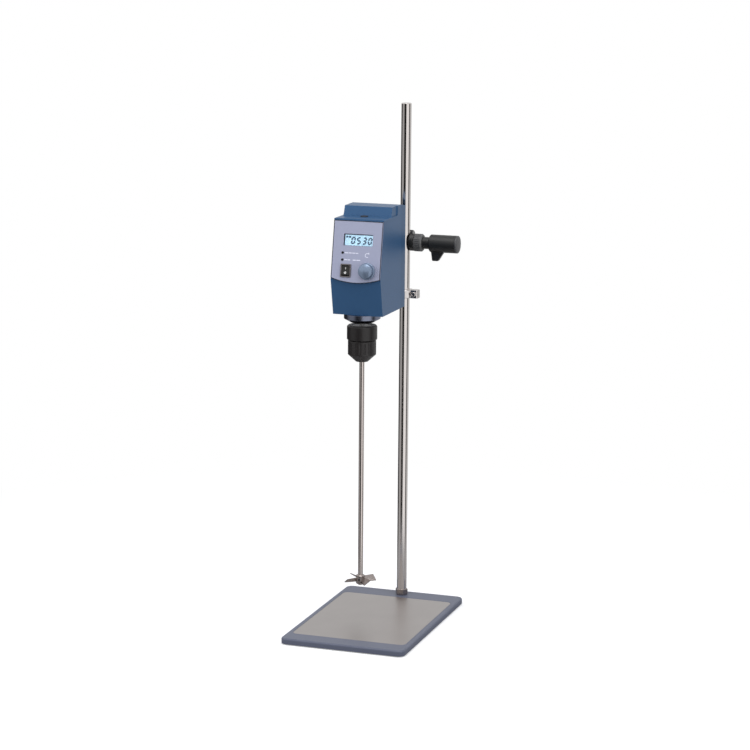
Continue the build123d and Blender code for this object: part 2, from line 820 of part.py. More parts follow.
with BuildPart() as indicator_lamps:
    with BuildSketch(panel_plane.offset(-board_depth)):
        with Locations(*lamp_at):
            Circle(lamp_r)
    extrude(amount=board_depth + 0.6)
save(indicator_lamps, "indicator_lamps")

board_margin = 1.0       # board to the edge of the opening behind the panel
board_low = 21.5
tab_w = 24.0
with BuildPart() as control_board:
    with BuildSketch(panel_plane.offset(-board_depth)):
        with Locations((0, board_low)):
            Rectangle(
                2 * (window_half - board_margin), window_high - board_margin - board_low,
                align=(Align.CENTER, Align.MIN),
            )
        # tab that carries the encoder
        with Locations((knob_at[0], window_low + board_margin)):
            Rectangle(tab_w, board_low - window_low, align=(Align.CENTER, Align.MIN))
    extrude(amount=-board_t)
save(control_board, "control_board")

with BuildPart() as switch_frame:
    with BuildSketch(panel_plane.offset(panel_t - panel_seat)):
        with Locations(switch_at):
            RectangleRounded(switch_w, switch_h, 1.2)
    extrude(amount=1.4)
    with BuildSketch(panel_plane.offset(panel_t - panel_seat)):
        with Locations(switch_at):
            Rectangle(switch_w - 2.0, switch_h - 1.7)
    extrude(amount=-14)
    with BuildSketch(panel_plane.offset(5)):
        with Locations(switch_at):
            Rectangle(rocker_w + 0.6, 2 * rocker_r + 0.4)
    extrude(amount=-17, mode=Mode.SUBTRACT)
save(switch_frame, "switch_frame")

# The rocker is a drum about its pivot, cut off by two faces that meet in a
# shallow V. Its upper half is pressed in.
rocker_plane = Plane(
    origin=panel_plane.from_local_coords((switch_at[0] - rocker_w / 2, switch_at[1], rocker_pivot)),
    x_dir=(0, sin(slope), cos(slope)),
    z_dir=(1, 0, 0),
)
rocker_travel = 20.0
rocker_rise = 2.0        # of the pressed face towards its end
rocker_dip = 2.6         # height of the V's root above the pivot
with BuildPart() as power_rocker:
    with BuildSketch(rocker_plane):
        Circle(rocker_r)
        with BuildLine():
            Polyline(
                (0, rocker_dip),
                (rocker_r + 2, rocker_dip + (rocker_r + 2) * tan(radians(rocker_rise))),
                (rocker_r + 2, rocker_r + 4),
                (-rocker_r - 2, rocker_r + 4),
                (-rocker_r - 2, rocker_dip + (rocker_r + 2) * tan(radians(rocker_travel + rocker_rise))),
                close=True,
            )
        make_face(mode=Mode.SUBTRACT)
    extrude(amount=rocker_w)
save(power_rocker, "power_rocker")

with BuildPart() as encoder:
    with BuildSketch(panel_plane.offset(-board_depth)):
        with Locations(knob_at):
            Rectangle(12, 12)
    extrude(amount=board_depth - panel_seat)
    with BuildSketch(panel_plane.offset(-panel_seat)):
        with Locations(knob_at):
            Circle(3.5)
    extrude(amount=panel_seat + 3)
    with BuildSketch(panel_plane.offset(5)):
        with Locations(knob_at):
            Circle(2.0 + running_gap)
    extrude(amount=-12, mode=Mode.SUBTRACT)
save(encoder, "encoder")

with BuildPart() as encoder_shaft:
    with BuildSketch(panel_plane.offset(-panel_seat - 3)):
        with Locations(knob_at):
            Circle(2.0)
    extrude(amount=panel_seat + 3 + knob_h - 3)
save(encoder_shaft, "encoder_shaft")

knob_base = panel_t - panel_seat + face_gap
knob_foot = panel_plane.offset(knob_base).from_local_coords(Vector(*knob_at, 0))
dome_r = (knob_cap_r**2 + knob_dome**2) / (2 * knob_dome)
with BuildPart() as speed_knob:
    with BuildSketch(Plane(origin=knob_foot, x_dir=(1, 0, 0), z_dir=-panel_plane.y_dir)):
        with BuildLine():
            Polyline(
                (0, knob_h),
                (0, 0),
                (knob_r, 0),
                (knob_r, knob_skirt_h - knob_groove),
                (knob_r - knob_groove, knob_skirt_h),
                (knob_cap_r - knob_groove, knob_skirt_h),
                (knob_cap_r - knob_groove, knob_skirt_h + knob_groove),
                (knob_cap_r, knob_skirt_h + knob_groove),
                (knob_cap_r, knob_h - knob_dome),
            )
            RadiusArc((knob_cap_r, knob_h - knob_dome), (0, knob_h), -dome_r)
        make_face()
    revolve(axis=Axis(knob_foot, panel_plane.z_dir))
    cap_rims = speed_knob.edges().filter_by(lambda edge: edge.geom_type == GeomType.CIRCLE
                                            and abs(edge.radius - knob_cap_r) < running_gap)
    fillet(cap_rims.sort_by(Axis((0, 0, 0), panel_plane.z_dir))[-1], knob_dome / 2)
    with BuildSketch(panel_plane.offset(knob_base)):
        with Locations(knob_at):
            Circle(5.0)
    extrude(amount=4.0, mode=Mode.SUBTRACT)
    with BuildSketch(panel_plane.offset(knob_base)):
        with Locations(knob_at):
            Circle(2.0 + thread_gap)
    extrude(amount=knob_h - 3 + 0.2, mode=Mode.SUBTRACT)
save(speed_knob, "speed_knob")

# ---- spindle nose with its bearing tube ---------------------------------
cone_low = head_bottom - cone_rim_h - cone_taper_h
bearing_bottom = head_bottom - cone_rim_h
bearing_top = tube_top - bearing_w - 1
spindle_hole_r = bearing_id / 2 + 1.5
nose_cone = turned(
    [
        (spindle_hole_r, cone_low),
        (cone_tip_r, cone_low),
        (cone_r, head_bottom - cone_rim_h),
        (cone_r, head_bottom),
        (tube_r, head_bottom),
        (tube_r, tube_top),
        (bearing_od / 2 + thread_gap, tube_top),
        (bearing_od / 2 + thread_gap, bearing_top),
        (spindle_hole_r + 3, bearing_top),
        (spindle_hole_r + 3, bearing_bottom + bearing_w),
        (bearing_od / 2 + thread_gap, bearing_bottom + bearing_w),
        (bearing_od / 2 + thread_gap, bearing_bottom),
        (spindle_hole_r, bearing_bottom),
    ],
    head_x,
    shaft_y,
)
save(nose_cone, "nose_cone")


def ball_bearing(bottom):
    """Shielded ball bearing drawn as one ring."""
    return turned(
        [
            (bearing_id / 2 + running_gap, bottom),
            (bearing_od / 2, bottom),
            (bearing_od / 2, bottom + bearing_w),
            (bearing_id / 2 + running_gap, bottom + bearing_w),
        ],
        head_x,
        shaft_y,
    )


save(ball_bearing(bearing_bottom), "lower_bearing")
save(ball_bearing(bearing_top), "upper_bearing")

# ---- spindle, pulleys, belt and motor -----------------------------------
spindle_r = bearing_id / 2
spindle_low = stirrer_top + 3.0
spindle = turned(
    [
        (0, spindle_low),
        (spindle_r, spindle_low),
        (spindle_r, pulley_z + pulley_h + 2),
        (0, pulley_z + pulley_h + 2),
    ],
    head_x,
    shaft_y,
)
save(spindle, "spindle")


def toothed_pulley(radius, bore, axis_y, teeth):
    """Belt pulley with toothed rim between two thin flanges."""
    with BuildPart() as piece:
        with BuildSketch(Plane.XY.offset(pulley_z)):
            with Locations((head_x, axis_y)):
                Circle(radius)
                with PolarLocations(radius, teeth):
                    Circle(0.6, mode=Mode.SUBTRACT)
        extrude(amount=pulley_h)
        with Locations((head_x, axis_y, pulley_z), (head_x, axis_y, pulley_z + pulley_h - 1)):
            Cylinder(radius + 1.6, 1.0, align=low)
        with Locations((head_x, axis_y, pulley_z)):
            Cylinder(bore + thread_gap, pulley_h, align=low, mode=Mode.SUBTRACT)
    return piece


save(toothed_pulley(driven_r, spindle_r, shaft_y, 40), "driven_pulley")
save(toothed_pulley(drive_r, motor_shaft_r, motor_y, 20), "drive_pulley")


def belt_loop(inner_gap):
    """Outline of the belt round both pulleys, a gap away from their rims."""
    big = driven_r + inner_gap
    small = drive_r + inner_gap
    lean = (big - small) / belt_centres
    tangent_x = sqrt(1 - lean * lean)
    with BuildSketch(Plane.XY) as loop:
        with BuildLine():
            right_big = (big * tangent_x, big * lean)
            left_big = (-big * tangent_x, big * lean)
            right_small = (small * tangent_x, belt_centres + small * lean)
            left_small = (-small * tangent_x, belt_centres + small * lean)
            ThreePointArc(right_big, (0, -big), left_big)
            Line(left_big, left_small)
            ThreePointArc(left_small, (0, belt_centres + small), right_small)
            Line(right_small, right_big)
        make_face()
    return loop.sketch


with BuildPart() as drive_belt:
    with BuildSketch(Plane.XY.offset(pulley_z + 1.0 + face_gap)):
        with Locations((head_x, shaft_y)):
            add(belt_loop(face_gap + belt_t))
            add(belt_loop(face_gap), mode=Mode.SUBTRACT)
    extrude(amount=pulley_h - 2 * (1.0 + face_gap))
save(drive_belt, "drive_belt")

with BuildPart() as motor_bracket:
    with BuildSketch(Plane.XY.offset(tube_top)):
        with Locations((head_x, shaft_y + belt_centres / 2)):
            RectangleRounded(2 * motor_r + 12, belt_centres + 2 * tube_r, 6)
        with Locations((head_x, shaft_y)):
            Circle(spindle_r + 2, mode=Mode.SUBTRACT)
        with Locations((head_x, motor_y)):
            Circle(motor_shaft_r + 1.5, mode=Mode.SUBTRACT)
    extrude(amount=plate_t)
save(motor_bracket, "motor_bracket")

motor = turned(
    [
        (motor_shaft_r + running_gap, tube_top),
        (motor_r, tube_top),
        (motor_r, tube_top - motor_h + 3),
        (motor_r - 2, tube_top - motor_h),
        (0, tube_top - motor_h),
        (0, tube_top - motor_h + 4),
        (motor_shaft_r + running_gap, tube_top - motor_h + 4),
    ],
    head_x,
    motor_y,
)
save(motor, "motor")

motor_shaft = turned(
    [
        (0, tube_top - motor_h + 4.3),
        (motor_shaft_r, tube_top - motor_h + 4.3),
        (motor_shaft_r, pulley_z + pulley_h + 2),
        (0, pulley_z + pulley_h + 2),
    ],
    head_x,
    motor_y,
)
save(motor_shaft, "motor_shaft")

# ---- keyless chuck ------------------------------------------------------
rear_sleeve_low = chuck_top - rear_sleeve_h
front_sleeve_top = rear_sleeve_low - 1.5
mandrel_low = chuck_nose_z + 0.8
jaw_foot_z = chuck_nose_z + 0.2
jaw_foot_r = stirrer_r + running_gap + 0.9 * jaw_r


def jaw_plane(angle):
    """Plane across one jaw at its tip, looking up along its guide."""
    out = Vector(cos(radians(angle)), sin(radians(angle)), 0)
    foot = Vector(head_x, shaft_y, jaw_foot_z) + out * jaw_foot_r
    along = out * sin(radians(jaw_tilt)) + Vector(0, 0, cos(radians(jaw_tilt)))
    across = Vector(-sin(radians(angle)), cos(radians(angle)), 0)
    return Plane(origin=foot, x_dir=across, z_dir=along)


chuck_rear_sleeve = turned(
    [
        (mandrel_r + thread_gap, rear_sleeve_low),
        (rear_sleeve_r - 0.6, rear_sleeve_low),
        (rear_sleeve_r, rear_sleeve_low + 0.8),
        (rear_sleeve_r, chuck_top - 2.2),
        (rear_sleeve_r - 1.8, chuck_top),
        (mandrel_r + thread_gap, chuck_top),
    ],
    head_x,
    shaft_y,
)
save(chuck_rear_sleeve, "chuck_rear_sleeve")

with BuildPart() as chuck_body:
    with BuildSketch(Plane(origin=(head_x, shaft_y, 0), x_dir=(1, 0, 0), z_dir=(0, -1, 0))):
        with BuildLine():
            Polyline(
                (0, chuck_top - 0.6),
                (mandrel_r, chuck_top - 0.6),
                (mandrel_r, front_sleeve_end + 1),
                (chuck_nose_r - 1.6, mandrel_low),
                (0, mandrel_low),
                close=True,
            )
        make_face()
    revolve(axis=Axis((head_x, shaft_y, 0), (0, 0, 1)))
    with Locations((head_x, shaft_y, mandrel_low - 1)):
        Cylinder(stirrer_r + 1.2, stirrer_top + 2.5 - mandrel_low + 1, align=low, mode=Mode.SUBTRACT)
    with Locations((head_x, shaft_y, spindle_low - 1)):
        Cylinder(spindle_r + thread_gap, chuck_top - spindle_low + 2, align=low, mode=Mode.SUBTRACT)
    for index in range(3):
        with BuildSketch(jaw_plane(120 * index + 90).offset(-2)):
            Circle(jaw_r + running_gap)
        extrude(amount=jaw_length + 9, mode=Mode.SUBTRACT)
save(chuck_body, "chuck_body")

for index in range(3):
    angle = 120 * index + 90
    with BuildPart() as chuck_jaw:
        with BuildSketch(jaw_plane(angle)):
            Circle(jaw_r)
        extrude(amount=jaw_length)
        # grip face on the stirring shaft, and a flat end
        with Locations((head_x, shaft_y, 0)):
            Cylinder(stirrer_r + running_gap, chuck_top, align=low, mode=Mode.SUBTRACT)
        with Locations((head_x, shaft_y, jaw_foot_z)):
            Cylinder(jaw_length, jaw_length, align=high, mode=Mode.SUBTRACT)
    save(chuck_jaw, f"chuck_jaw_{index + 1}")

grip_count = 18
with BuildPart() as chuck_front_sleeve:
    with BuildSketch(Plane(origin=(head_x, shaft_y, 0), x_dir=(1, 0, 0), z_dir=(0, -1, 0))):
        with BuildLine():
            Polyline(
                (mandrel_r + face_gap, front_sleeve_top),
                (front_sleeve_r - 0.6, front_sleeve_top),
                (front_sleeve_r, front_sleeve_top - 0.8),
                (front_sleeve_r, front_sleeve_end),
                (chuck_nose_r, chuck_nose_z),
                (chuck_nose_r - 1.0, chuck_nose_z),
                (mandrel_r + face_gap, front_sleeve_end + 1.0),
                close=True,
            )
        make_face()
    revolve(axis=Axis((head_x, shaft_y, 0), (0, 0, 1)))
    with Locations((head_x, shaft_y, front_sleeve_end + 2)):
        with PolarLocations(front_sleeve_r + 1.1, grip_count):
            Cylinder(1.8, front_sleeve_top - front_sleeve_end - 5, align=low, mode=Mode.SUBTRACT)
save(chuck_front_sleeve, "chuck_front_sleeve")

# ---- stirring shaft and propeller ---------------------------------------
stirring_shaft = turned(
    [
        (0, stirrer_bottom),
        (stirrer_r - 0.5, stirrer_bottom),
        (stirrer_r, stirrer_bottom + 0.5),
        (stirrer_r, stirrer_top - 0.5),
        (stirrer_r - 0.5, stirrer_top),
        (0, stirrer_top),
    ],
    head_x,
    shaft_y,
)
save(stirring_shaft, "stirring_shaft")

hub_low = stirrer_bottom + 2.0
hub_mid = hub_low + hub_h / 2
blade_t = 1.6
blade_chord = 14.0
with BuildPart() as propeller:
    with Locations((head_x, shaft_y, hub_low)):
        Cylinder(hub_r, hub_h, align=low)
    chamfer(propeller.edges().filter_by(GeomType.CIRCLE), 0.8)
    for index in range(blade_count):
        turn = 360 / blade_count * index + 45
        out = Vector(cos(radians(turn)), sin(radians(turn)), 0)
        side = Vector(-sin(radians(turn)), cos(radians(turn)), 0)
        root_dir = side * cos(radians(blade_pitch + 12)) + Vector(0, 0, sin(radians(blade_pitch + 12)))
        tip_dir = side * cos(radians(blade_pitch - 8)) + Vector(0, 0, sin(radians(blade_pitch - 8)))
        centre = Vector(head_x, shaft_y, hub_mid)
        with BuildSketch(Plane(origin=centre + out * (hub_r - 1.5), x_dir=root_dir, z_dir=out)):
            SlotOverall(0.75 * blade_chord, blade_t)
        with BuildSketch(Plane(origin=centre + out * propeller_r, x_dir=tip_dir, z_dir=out)):
            SlotOverall(blade_chord, blade_t)
        loft()
    with Locations((head_x, shaft_y, hub_low - 1)):
        Cylinder(stirrer_r + thread_gap, hub_h + 2, align=low, mode=Mode.SUBTRACT)
    with BuildSketch(Plane(origin=(head_x, shaft_y, hub_mid), x_dir=(1, 0, 0), z_dir=(0, -1, 0))):
        Circle(1.5 + thread_gap)
    extrude(amount=hub_r + 1, mode=Mode.SUBTRACT)
save(propeller, "propeller")

with BuildPart() as propeller_screw:
    screw_tip_y = shaft_y - stirrer_r - running_gap
    with BuildSketch(Plane(origin=(head_x, screw_tip_y, hub_mid), x_dir=(1, 0, 0), z_dir=(0, -1, 0))):
        Circle(1.5)
    extrude(amount=hub_r - stirrer_r)
save(propeller_screw, "propeller_screw")
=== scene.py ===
import json
from math import atan2, cos, pi, radians, sin, sqrt, tan

import bpy
from mathutils import Matrix, Vector

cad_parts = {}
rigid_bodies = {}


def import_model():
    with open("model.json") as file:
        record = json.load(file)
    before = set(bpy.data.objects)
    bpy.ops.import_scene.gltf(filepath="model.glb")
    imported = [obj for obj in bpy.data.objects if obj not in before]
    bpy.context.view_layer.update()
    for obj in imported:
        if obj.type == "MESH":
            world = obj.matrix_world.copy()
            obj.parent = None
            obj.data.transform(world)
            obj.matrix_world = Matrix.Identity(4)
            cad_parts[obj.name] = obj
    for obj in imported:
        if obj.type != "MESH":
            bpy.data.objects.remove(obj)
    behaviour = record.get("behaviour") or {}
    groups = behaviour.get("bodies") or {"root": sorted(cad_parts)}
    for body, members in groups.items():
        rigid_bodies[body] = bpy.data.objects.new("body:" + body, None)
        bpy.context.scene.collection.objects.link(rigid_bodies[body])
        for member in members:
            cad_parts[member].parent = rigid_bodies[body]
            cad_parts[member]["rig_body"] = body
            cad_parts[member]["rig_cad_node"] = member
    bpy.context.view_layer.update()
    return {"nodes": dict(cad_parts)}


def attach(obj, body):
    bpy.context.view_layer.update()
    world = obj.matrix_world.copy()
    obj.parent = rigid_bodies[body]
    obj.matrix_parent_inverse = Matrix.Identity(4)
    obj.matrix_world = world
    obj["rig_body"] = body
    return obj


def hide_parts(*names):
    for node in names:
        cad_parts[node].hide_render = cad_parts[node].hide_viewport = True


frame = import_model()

scene = bpy.context.scene


# ---- Studio: camera, white surroundings and soft lights ------------------
# A table-top studio: a long lens a little above the bench, a white sweep that
# runs out of sight, and soft boxes on both sides and overhead.
def linear(colour):
    """Linear colour, with alpha 1, of an sRGB hex value."""
    channels = [int(colour[place : place + 2], 16) / 255 for place in (1, 3, 5)]
    return [c / 12.92 if c <= 0.04045 else ((c + 0.055) / 1.055) ** 2.4 for c in channels] + [1.0]


def node(tree, kind, sockets, **settings):
    """Add a node. A socket is given a value, or (node, output) to be linked from."""
    added = tree.nodes.new(kind)
    for name, value in settings.items():
        setattr(added, name, value)
    for name, value in sockets.items():
        if isinstance(value, tuple) and isinstance(value[0], bpy.types.Node):
            tree.links.new(value[0].outputs[value[1]], added.inputs[name])
        else:
            added.inputs[name].default_value = value
    return added


def stops(ramp_node, places):
    """Give a Color Ramp its stops as (place, grey)."""
    ramp = ramp_node.color_ramp
    while len(ramp.elements) < len(places):
        ramp.elements.new(1.0)
    for element, (place, grey) in zip(ramp.elements, places):
        element.position = place
        element.color = (grey, grey, grey, 1.0)


camera_place = (1.20141, -3.54391, 1.13164)
camera_turn = 0.32735      # to the right of the object's front
camera_dip = 0.19305       # looking down
camera_roll = 0.00799
focal_pixels = 2458.27     # in a frame 750 pixels wide
frame_pixels = 750

camera_data = bpy.data.cameras.new("studio_camera")
camera_data.sensor_width = 36.0
camera_data.lens = focal_pixels / frame_pixels * camera_data.sensor_width
camera = bpy.data.objects.new("studio_camera", camera_data)
scene.collection.objects.link(camera)
camera.matrix_world = (
    Matrix.Translation(camera_place)
    @ Matrix.Rotation(camera_turn, 4, "Z")
    @ Matrix.Rotation(pi / 2 - camera_dip, 4, "X")
    @ Matrix.Rotation(camera_roll, 4, "Z")
)
scene.camera = camera
scene.view_settings.view_transform = "Standard"

# What polished metal mirrors: a light ceiling, and level with the object white
# boards to the right of the camera and behind it all, with black flags between.
world = bpy.data.worlds.new("white_studio")
world.use_nodes = True
scene.world = world
sky = world.node_tree
sky.nodes.clear()
direction = node(sky, "ShaderNodeTexCoord", {})
turned = node(
    sky, "ShaderNodeMapping", {"Vector": (direction, "Generated"), "Rotation": (0, 0, pi / 2 - camera_turn)}
)
bearing = node(sky, "ShaderNodeTexGradient", {"Vector": (turned, 0)}, gradient_type="RADIAL")
boards = node(sky, "ShaderNodeValToRGB", {"Fac": (bearing, "Fac")})


def compass(degrees):
    """Place on the ramp of a bearing, right of the camera as seen from the object."""
    return 0.5 + degrees / 360


stops(
    boards,
    [
        (compass(-180), 0.65),
        (compass(-164), 0.65),
        (compass(-156), 0.04),
        (compass(-104), 0.04),
        (compass(-94), 0.42),
        (compass(-50), 0.42),
        (compass(-44), 0.01),
        (compass(-3), 0.01),
        (compass(2), 1.00),
        (compass(58), 1.00),
        (compass(64), 0.06),
        (compass(84), 0.06),
        (compass(92), 0.65),
        (compass(180), 0.65),
    ],
)
axes = node(sky, "ShaderNodeSeparateXYZ", {"Vector": (direction, "Generated")})
above = node(sky, "ShaderNodeMapRange", {"Value": (axes, "Z"), "From Min": 0.05, "From Max": 0.22})
around = node(
    sky, "ShaderNodeMix", {0: (above, 0), 6: (boards, 0), 7: linear("#ececec")}, data_type="RGBA"
)
rays = node(sky, "ShaderNodeLightPath", {})
mirrored = node(
    sky, "ShaderNodeMix", {0: (rays, "Is Glossy Ray"), 6: linear("#ffffff"), 7: (around, 2)},
    data_type="RGBA",
)
seen = node(
    sky, "ShaderNodeMath", {0: (rays, "Is Camera Ray"), 1: (rays, "Is Glossy Ray")}, operation="MAXIMUM"
)
seen = node(sky, "ShaderNodeMath", {0: (seen, 0), 1: (rays, "Is Transmission Ray")}, operation="MAXIMUM")
fill_strength = 0.5        # of the white surroundings' light on everything
fill = node(sky, "ShaderNodeBackground", {"Color": linear("#f4f6ff"), "Strength": fill_strength})
surround = node(sky, "ShaderNodeBackground", {"Color": (mirrored, 2), "Strength": 1.0})
both = node(sky, "ShaderNodeMixShader", {0: (seen, 0), 1: (fill, 0), 2: (surround, 0)})
node(sky, "ShaderNodeOutputWorld", {"Surface": (both, 0)})


def soft_box(name, place, target, width, height, power):
    """A rectangular soft box at a place, facing a target."""
    lamp = bpy.data.lights.new(name, "AREA")
    lamp.shape = "RECTANGLE"
    lamp.size = width
    lamp.size_y = height
    lamp.energy = power
    box = bpy.data.objects.new(name, lamp)
    scene.collection.objects.link(box)
    box.location = place
    box.rotation_euler = (Vector(target) - Vector(place)).to_track_quat("-Z", "Y").to_euler()
    box.visible_glossy = False
    return box


middle = (0, 0, 0.45)
soft_box("soft_box_left", (-1.6, -1.5, 1.2), middle, width=1.2, height=1.8, power=24)
soft_box("soft_box_right", (2.2, -0.9, 1.1), middle, width=1.0, height=1.8, power=26)
top_box = soft_box("soft_box_top", (0.2, -0.6, 2.4), middle, width=1.6, height=1.2, power=21)
top_box.visible_glossy = True      # it gives the knob its highlight

# white sweep under and behind the stand: it takes the stand's soft shadow and
# runs out to plain white, and polished metal mirrors the boards past its edge
floor_size = 30.0
lit_floor = 0.5            # radius that shows as lit paper
white_floor = 1.1          # radius from which it is plain white
mirrored_floor = 0.20      # radius of the paper that metal mirrors
unseen_floor = 0.45        # radius from which it mirrors the boards instead
paper_glow = 0.3           # lifts the lit paper to white, for the camera alone
bpy.ops.object.select_all(action="DESELECT")
bpy.ops.mesh.primitive_plane_add(size=floor_size, location=(0, 0, 0))
sweep = bpy.context.active_object
sweep.name = "studio_sweep"
paper = bpy.data.materials.new("sweep_paper")
paper.use_nodes = True
tree = paper.node_tree
tree.nodes.clear()
rays = node(tree, "ShaderNodeLightPath", {})
place = node(tree, "ShaderNodeTexCoord", {})
reach = node(tree, "ShaderNodeVectorMath", {0: (place, "Object")}, operation="LENGTH")
far = node(
    tree, "ShaderNodeMapRange", {"Value": (reach, "Value"), "From Min": lit_floor, "From Max": white_floor}
)
plain = node(tree, "ShaderNodeMath", {0: (far, 0), 1: (rays, "Is Camera Ray")}, operation="MULTIPLY")
beyond = node(
    tree, "ShaderNodeMapRange",
    {"Value": (reach, "Value"), "From Min": mirrored_floor, "From Max": unseen_floor},
)
past = node(tree, "ShaderNodeMath", {0: (beyond, 0), 1: (rays, "Is Glossy Ray")}, operation="MULTIPLY")
shade = node(
    tree, "ShaderNodeMix", {0: (rays, "Is Camera Ray"), 6: linear("#a8a8a8"), 7: linear("#f2f2f2")},
    data_type="RGBA",
)
matt = node(tree, "ShaderNodeBsdfDiffuse", {"Color": (shade, 2)})
lift = node(tree, "ShaderNodeMath", {0: (rays, "Is Camera Ray"), 1: paper_glow}, operation="MULTIPLY")
glow = node(tree, "ShaderNodeEmission", {"Color": linear("#ffffff"), "Strength": (lift, 0)})
lit = node(tree, "ShaderNodeAddShader", {0: (matt, 0), 1: (glow, 0)})
white = node(tree, "ShaderNodeEmission", {"Color": linear("#ffffff"), "Strength": 1.0})
both = node(tree, "ShaderNodeMixShader", {0: (plain, 0), 1: (lit, 0), 2: (white, 0)})
clear = node(tree, "ShaderNodeBsdfTransparent", {})
both = node(tree, "ShaderNodeMixShader", {0: (past, 0), 1: (both, 0), 2: (clear, 0)})
node(tree, "ShaderNodeOutputMaterial", {"Surface": (both, 0)})
sweep.data.materials.append(paper)


# ---- Stand: plate with its sheet, feet, screws, rod and lock nut ---------
# Pressed steel plate in slate powder coat, a brushed stainless sheet laid
# into it, and a ground stainless rod screwed in at the back under a nut.
mottle_size = 0.04545      # faint patches of tone, 45 mm across
gloss_spread = 0.05        # roughness above and below a finish's own


def finish(name, colour, roughness, metallic=0.0, grain=0.0008, relief=0.00001, mottle=0.06, ior=1.5):
    """A surface of one colour with a fine relief, faint mottling and uneven gloss.

    grain is the size of the relief's bumps and relief their height, in metres.
    """
    material = bpy.data.materials.new(name)
    material.use_nodes = True
    tree = material.node_tree
    tree.nodes.clear()
    place = node(tree, "ShaderNodeTexCoord", {})
    fine = node(tree, "ShaderNodeTexNoise", {"Vector": (place, "Object"), "Scale": 1 / grain, "Detail": 2.0})
    broad = node(
        tree, "ShaderNodeTexNoise", {"Vector": (place, "Object"), "Scale": 1 / mottle_size, "Detail": 3.0}
    )
    shade = [channel * (1 - mottle) for channel in linear(colour)[:3]] + [1.0]
    light = [min(channel * (1 + mottle), 1.0) for channel in linear(colour)[:3]] + [1.0]
    tone = node(tree, "ShaderNodeMix", {0: (broad, "Fac"), 6: shade, 7: light}, data_type="RGBA")
    gloss = node(
        tree, "ShaderNodeMapRange",
        {"Value": (fine, "Fac"), "To Min": roughness - gloss_spread, "To Max": roughness + gloss_spread},
    )
    bump = node(tree, "ShaderNodeBump", {"Height": (fine, "Fac"), "Strength": 1.0, "Distance": relief})
    sockets = {"Base Color": (tone, 2), "Roughness": (gloss, 0), "Metallic": metallic, "Normal": (bump, 0)}
    if metallic == 0.0:
        sockets["IOR"] = ior
    surface = node(tree, "ShaderNodeBsdfPrincipled", sockets)
    node(tree, "ShaderNodeOutputMaterial", {"Surface": (surface, 0)})
    return material


def part_of(material, kind):
    """The first node of a kind in a material."""
    return next(n for n in material.node_tree.nodes if n.bl_idname == kind)


def painted(cad_name, material):
    """Give a CAD node a material in place of its plain one."""
    for place in frame["nodes"][cad_name].material_slots:
        place.material = material


sharp_turn = radians(40)   # an edge that turns more than this is a sharp one


def eased(cad_name, body, material, edge=0.0):
    """The finished form of a CAD node: one closed skin, its sharp edges eased, its rounds smooth."""
    bpy.ops.object.select_all(action="DESELECT")
    source = frame["nodes"][cad_name]
    source.select_set(True)
    bpy.context.view_layer.objects.active = source
    bpy.ops.object.duplicate()
    piece = bpy.context.active_object
    piece.parent = None
    piece.name = cad_name + "_finished"
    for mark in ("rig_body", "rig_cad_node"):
        del piece[mark]
    piece.data.materials.clear()
    piece.data.materials.append(material)
    bpy.ops.object.mode_set(mode="EDIT")
    bpy.ops.mesh.select_all(action="SELECT")
    bpy.ops.mesh.customdata_custom_splitnormals_clear()
    bpy.ops.mesh.remove_doubles(threshold=0.000002)
    bpy.ops.mesh.dissolve_limited(angle_limit=radians(0.5))
    bpy.ops.object.mode_set(mode="OBJECT")
    if edge:
        bevel = piece.modifiers.new("eased_edges", "BEVEL")
        bevel.width = edge
        bevel.segments = 2
        bevel.limit_method = "ANGLE"
        bevel.angle_limit = sharp_turn
        bevel.use_clamp_overlap = False
        bpy.ops.object.modifier_apply(modifier=bevel.name)
    bpy.ops.object.shade_smooth_by_angle(angle=sharp_turn)
    weighted = piece.modifiers.new("flat_faces", "WEIGHTED_NORMAL")
    weighted.keep_sharp = True
    bpy.ops.object.modifier_apply(modifier=weighted.name)
    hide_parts(cad_name)
    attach(piece, body)
    return piece


# epoxy powder coat: slate grey-blue with a faint orange peel
powder_coat = finish("slate_powder_coat", "#5a5f70", 0.42, grain=0.0016, relief=0.00003)
eased("base_plate", "stand", powder_coat, edge=0.0004)


def brushed(material, squeeze, depth):
    """Stretch a finish's grain into brush lines. squeeze divides each axis of the pattern."""
    tree = material.node_tree
    place = part_of(material, "ShaderNodeTexCoord")
    fine = part_of(material, "ShaderNodeTexNoise")
    mapping = node(tree, "ShaderNodeMapping", {"Vector": (place, "Object"), "Scale": squeeze})
    tree.links.new(mapping.outputs[0], fine.inputs["Vector"])
    part_of(material, "ShaderNodeBump").inputs["Distance"].default_value = depth
    return material


# stainless sheet, belt-brushed along the plate: an even, silky grey. Its lines
# are 0.05 mm apart and are drawn 0.5 mm apart so that they show
sheet_steel = brushed(
    finish("brushed_stainless", "#aca7a5", 0.36, metallic=1.0, grain=0.0005), (1.0, 0.012, 1.0), 0.000008
)
eased("base_sheet", "stand", sheet_steel, edge=0.0002)

# under the plate: rubber feet, dead matt, and zinc-plated countersunk screws
# with a pale, dull shine
rubber = finish("black_rubber", "#1c1c1d", 0.75, grain=0.0006, relief=0.00002)
zinc = finish("zinc_plate", "#b6b7b4", 0.35, metallic=1.0, grain=0.0004, relief=0.000004)
eased("base_feet", "stand", rubber, edge=0.0004)
painted("foot_screws", zinc)

# centreless-ground steel: almost a mirror, its stripes soft at their edges.
# Its rings are a few hundredths of a millimetre apart and are drawn 0.6 mm apart
ground_steel = brushed(
    finish("ground_stainless", "#ddd7d4", 0.12, metallic=1.0, grain=0.0006, mottle=0.03),
    (0.02, 0.02, 1.0), 0.000002,
)
eased("support_rod", "stand", ground_steel)

# lock nut, turned and left bare: a duller, browner steel than the rod
nut_metal = finish("turned_stainless", "#a39a97", 0.26, metallic=1.0, grain=0.0005, relief=0.000004)
eased("rod_nut", "stand", nut_metal, edge=0.0005)

